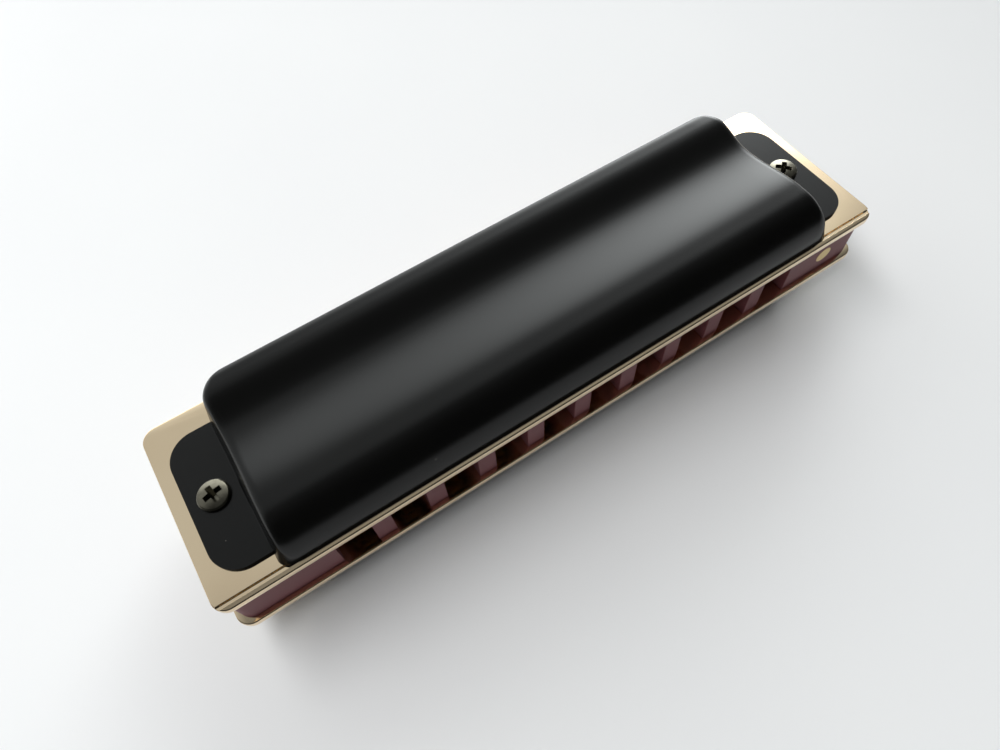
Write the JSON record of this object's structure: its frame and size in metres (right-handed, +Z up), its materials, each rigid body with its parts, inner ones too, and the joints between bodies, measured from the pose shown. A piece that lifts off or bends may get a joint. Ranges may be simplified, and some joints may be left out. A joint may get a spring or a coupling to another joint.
{
  "type": "harmonica",
  "caption": "Diatonic harmonica with black end-tabbed cover plates, gold reed plates, a wine-red comb, square mouth holes and reeds that swing in their slots.",
  "frame": {"origin": "on the surface that the instrument rests on, under the centre of its reed plates", "axes": "+X along the instrument to the end of hole 1 and the low reeds; -Y the mouth side and +Y the open back; +Z up, the draw side on top as it lies"},
  "size_m": [0.101, 0.0266, 0.0206],
  "materials": {
    "black_paint": "pressed steel cover, satin black paint",
    "gold_plate": "brass sheet, polished and pale gold plated",
    "wine_comb": "moulded ABS, wine red, satin",
    "reed_brass": "rolled and ground brass",
    "screw_brass": "turned brass",
    "nickel_steel": "nickel-plated steel"
  },
  "bodies": {
    "root": {"comb": "wine_comb", "draw_reed_plate": "gold_plate", "blow_reed_plate": "gold_plate", "draw_cover": "black_paint", "blow_cover": "black_paint", "cover_screw_low": "nickel_steel", "cover_screw_high": "nickel_steel", "cover_nut_low": "nickel_steel", "cover_nut_high": "nickel_steel", "plate_screw_1": "screw_brass", "plate_screw_2": "screw_brass", "plate_screw_3": "screw_brass", "plate_screw_4": "screw_brass", "plate_screw_5": "screw_brass", "plate_screw_6": "screw_brass", "plate_screw_7": "screw_brass", "plate_screw_8": "screw_brass", "plate_screw_9": "screw_brass", "draw_rivet_1": "reed_brass", "draw_rivet_2": "reed_brass", "draw_rivet_3": "reed_brass", "draw_rivet_4": "reed_brass", "draw_rivet_5": "reed_brass", "draw_rivet_6": "reed_brass", "draw_rivet_7": "reed_brass", "draw_rivet_8": "reed_brass", "draw_rivet_9": "reed_brass", "draw_rivet_10": "reed_brass", "blow_rivet_1": "reed_brass", "blow_rivet_2": "reed_brass", "blow_rivet_3": "reed_brass", "blow_rivet_4": "reed_brass", "blow_rivet_5": "reed_brass", "blow_rivet_6": "reed_brass", "blow_rivet_7": "reed_brass", "blow_rivet_8": "reed_brass", "blow_rivet_9": "reed_brass", "blow_rivet_10": "reed_brass"},
    "draw_reed_1": {"draw_reed_1": "reed_brass"},
    "draw_reed_2": {"draw_reed_2": "reed_brass"},
    "draw_reed_3": {"draw_reed_3": "reed_brass"},
    "draw_reed_4": {"draw_reed_4": "reed_brass"},
    "draw_reed_5": {"draw_reed_5": "reed_brass"},
    "draw_reed_6": {"draw_reed_6": "reed_brass"},
    "draw_reed_7": {"draw_reed_7": "reed_brass"},
    "draw_reed_8": {"draw_reed_8": "reed_brass"},
    "draw_reed_9": {"draw_reed_9": "reed_brass"},
    "draw_reed_10": {"draw_reed_10": "reed_brass"},
    "blow_reed_1": {"blow_reed_1": "reed_brass"},
    "blow_reed_2": {"blow_reed_2": "reed_brass"},
    "blow_reed_3": {"blow_reed_3": "reed_brass"},
    "blow_reed_4": {"blow_reed_4": "reed_brass"},
    "blow_reed_5": {"blow_reed_5": "reed_brass"},
    "blow_reed_6": {"blow_reed_6": "reed_brass"},
    "blow_reed_7": {"blow_reed_7": "reed_brass"},
    "blow_reed_8": {"blow_reed_8": "reed_brass"},
    "blow_reed_9": {"blow_reed_9": "reed_brass"},
    "blow_reed_10": {"blow_reed_10": "reed_brass"}
  },
  "joints": [
    {"name": "draw_reed_1_swing", "type": "hinge", "parent": "root", "child": "draw_reed_1", "pos_m": [0.03375, 0.00389, 0.01493], "axis": [1, 0, 0], "range_deg": [-5, 5], "stiffness_Nm_per_rad": 0.042, "deforming": ["draw_reed_1"]},
    {"name": "draw_reed_2_swing", "type": "hinge", "parent": "root", "child": "draw_reed_2", "pos_m": [0.02625, 0.00323, 0.01493], "axis": [1, 0, 0], "range_deg": [-4.8, 4.8], "stiffness_Nm_per_rad": 0.0443, "deforming": ["draw_reed_2"]},
    {"name": "draw_reed_3_swing", "type": "hinge", "parent": "root", "child": "draw_reed_3", "pos_m": [0.01875, 0.00257, 0.01493], "axis": [1, 0, 0], "range_deg": [-4.6, 4.6], "stiffness_Nm_per_rad": 0.0467, "deforming": ["draw_reed_3"]},
    {"name": "draw_reed_4_swing", "type": "hinge", "parent": "root", "child": "draw_reed_4", "pos_m": [0.01125, 0.00191, 0.01493], "axis": [1, 0, 0], "range_deg": [-4.3, 4.3], "stiffness_Nm_per_rad": 0.049, "deforming": ["draw_reed_4"]},
    {"name": "draw_reed_5_swing", "type": "hinge", "parent": "root", "child": "draw_reed_5", "pos_m": [0.00375, 0.00125, 0.01493], "axis": [1, 0, 0], "range_deg": [-4.1, 4.1], "stiffness_Nm_per_rad": 0.0513, "deforming": ["draw_reed_5"]},
    {"name": "draw_reed_6_swing", "type": "hinge", "parent": "root", "child": "draw_reed_6", "pos_m": [-0.00375, 0.00058, 0.01493], "axis": [1, 0, 0], "range_deg": [-3.9, 3.9], "stiffness_Nm_per_rad": 0.0537, "deforming": ["draw_reed_6"]},
    {"name": "draw_reed_7_swing", "type": "hinge", "parent": "root", "child": "draw_reed_7", "pos_m": [-0.01125, -0.00008, 0.01493], "axis": [1, 0, 0], "range_deg": [-3.7, 3.7], "stiffness_Nm_per_rad": 0.056, "deforming": ["draw_reed_7"]},
    {"name": "draw_reed_8_swing", "type": "hinge", "parent": "root", "child": "draw_reed_8", "pos_m": [-0.01875, -0.00074, 0.01493], "axis": [1, 0, 0], "range_deg": [-3.4, 3.4], "stiffness_Nm_per_rad": 0.0583, "deforming": ["draw_reed_8"]},
    {"name": "draw_reed_9_swing", "type": "hinge", "parent": "root", "child": "draw_reed_9", "pos_m": [-0.02625, -0.0014, 0.01493], "axis": [1, 0, 0], "range_deg": [-3.2, 3.2], "stiffness_Nm_per_rad": 0.0607, "deforming": ["draw_reed_9"]},
    {"name": "draw_reed_10_swing", "type": "hinge", "parent": "root", "child": "draw_reed_10", "pos_m": [-0.03375, -0.00206, 0.01493], "axis": [1, 0, 0], "range_deg": [-3, 3], "stiffness_Nm_per_rad": 0.063, "deforming": ["draw_reed_10"]},
    {"name": "blow_reed_1_swing", "type": "hinge", "parent": "root", "child": "blow_reed_1", "pos_m": [0.03375, -0.00409, 0.00702], "axis": [1, 0, 0], "range_deg": [-5, 5], "stiffness_Nm_per_rad": 0.042, "deforming": ["blow_reed_1"]},
    {"name": "blow_reed_2_swing", "type": "hinge", "parent": "root", "child": "blow_reed_2", "pos_m": [0.02625, -0.00421, 0.00702], "axis": [1, 0, 0], "range_deg": [-4.8, 4.8], "stiffness_Nm_per_rad": 0.0443, "deforming": ["blow_reed_2"]},
    {"name": "blow_reed_3_swing", "type": "hinge", "parent": "root", "child": "blow_reed_3", "pos_m": [0.01875, -0.00432, 0.00702], "axis": [1, 0, 0], "range_deg": [-4.6, 4.6], "stiffness_Nm_per_rad": 0.0467, "deforming": ["blow_reed_3"]},
    {"name": "blow_reed_4_swing", "type": "hinge", "parent": "root", "child": "blow_reed_4", "pos_m": [0.01125, -0.00444, 0.00702], "axis": [1, 0, 0], "range_deg": [-4.3, 4.3], "stiffness_Nm_per_rad": 0.049, "deforming": ["blow_reed_4"]},
    {"name": "blow_reed_5_swing", "type": "hinge", "parent": "root", "child": "blow_reed_5", "pos_m": [0.00375, -0.00456, 0.00702], "axis": [1, 0, 0], "range_deg": [-4.1, 4.1], "stiffness_Nm_per_rad": 0.0513, "deforming": ["blow_reed_5"]},
    {"name": "blow_reed_6_swing", "type": "hinge", "parent": "root", "child": "blow_reed_6", "pos_m": [-0.00375, -0.00467, 0.00702], "axis": [1, 0, 0], "range_deg": [-3.9, 3.9], "stiffness_Nm_per_rad": 0.0537, "deforming": ["blow_reed_6"]},
    {"name": "blow_reed_7_swing", "type": "hinge", "parent": "root", "child": "blow_reed_7", "pos_m": [-0.01125, -0.00479, 0.00702], "axis": [1, 0, 0], "range_deg": [-3.7, 3.7], "stiffness_Nm_per_rad": 0.056, "deforming": ["blow_reed_7"]},
    {"name": "blow_reed_8_swing", "type": "hinge", "parent": "root", "child": "blow_reed_8", "pos_m": [-0.01875, -0.00491, 0.00702], "axis": [1, 0, 0], "range_deg": [-3.4, 3.4], "stiffness_Nm_per_rad": 0.0583, "deforming": ["blow_reed_8"]},
    {"name": "blow_reed_9_swing", "type": "hinge", "parent": "root", "child": "blow_reed_9", "pos_m": [-0.02625, -0.00502, 0.00702], "axis": [1, 0, 0], "range_deg": [-3.2, 3.2], "stiffness_Nm_per_rad": 0.0607, "deforming": ["blow_reed_9"]},
    {"name": "blow_reed_10_swing", "type": "hinge", "parent": "root", "child": "blow_reed_10", "pos_m": [-0.03375, -0.00514, 0.00702], "axis": [1, 0, 0], "range_deg": [-3, 3], "stiffness_Nm_per_rad": 0.063, "deforming": ["blow_reed_10"]}
  ]
}
